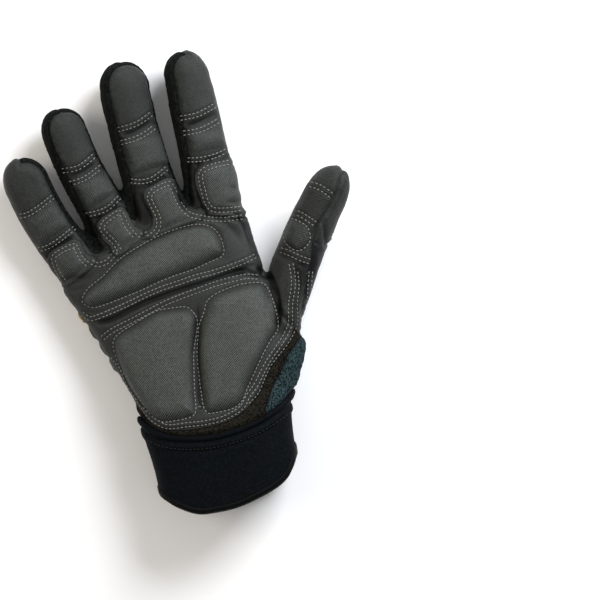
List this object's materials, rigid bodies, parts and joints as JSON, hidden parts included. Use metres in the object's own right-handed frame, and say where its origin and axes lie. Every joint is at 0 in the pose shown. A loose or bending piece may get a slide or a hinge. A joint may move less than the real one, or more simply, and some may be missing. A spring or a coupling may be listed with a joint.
{
  "type": "anti vibration glove",
  "caption": "Right-hand work glove with padded leather palm, mesh back and strapped cuff, lying palm up on its back.",
  "frame": {"origin": "under the middle of the palm, on the flat patch of the knuckle band that the glove rests on", "axes": "+X to the thumb side, +Y to the fingertips, +Z out of the palm"},
  "size_m": [0.1905, 0.2564, 0.0462],
  "materials": {
    "palm_leather": "matte synthetic leather with a fine twill",
    "smooth_leather": "satin",
    "cap_leather": "matte",
    "suede": "brushed",
    "terry": "towelling",
    "stretch_cloth": "knitted",
    "mesh": "spacer mesh",
    "rubber_rib": "matte",
    "neoprene": "laminated knit",
    "cuff_neoprene": "laminated knit",
    "binding": "woven tape",
    "yellow": "satin cord"
  },
  "bodies": {
    "root": {"palm_leather": "palm_leather", "heel_strip": "suede", "crescent_pad": "palm_leather", "heel_pad": "palm_leather", "thenar_pad": "palm_leather", "index_base_pad": "palm_leather", "middle_base_pad": "palm_leather", "ring_base_pad": "palm_leather", "little_base_pad": "palm_leather", "index_middle_pad": "palm_leather", "middle_middle_pad": "palm_leather", "ring_middle_pad": "palm_leather", "little_middle_pad": "palm_leather", "thumb_patch_pad": "palm_leather", "thumb_front": "palm_leather", "thumb_back": "smooth_leather", "terry_patch": "terry", "index_strip": "stretch_cloth", "middle_strip": "stretch_cloth", "ring_strip": "stretch_cloth", "index_cap": "cap_leather", "middle_cap": "cap_leather", "ring_cap": "cap_leather", "little_cap": "cap_leather", "back_mesh": "mesh", "index_flex": "rubber_rib", "middle_flex": "rubber_rib", "ring_flex": "rubber_rib", "little_flex": "rubber_rib", "knuckle_band": "neoprene", "back_panel": "neoprene", "piping": "yellow", "side_tag": "yellow", "vent_rim": "binding", "cuff": "cuff_neoprene", "cuff_hem": "cuff_neoprene", "cuff_binding": "binding", "wrist_strap": "cuff_neoprene", "strap_rim": "binding"}
  },
  "joints": []
}
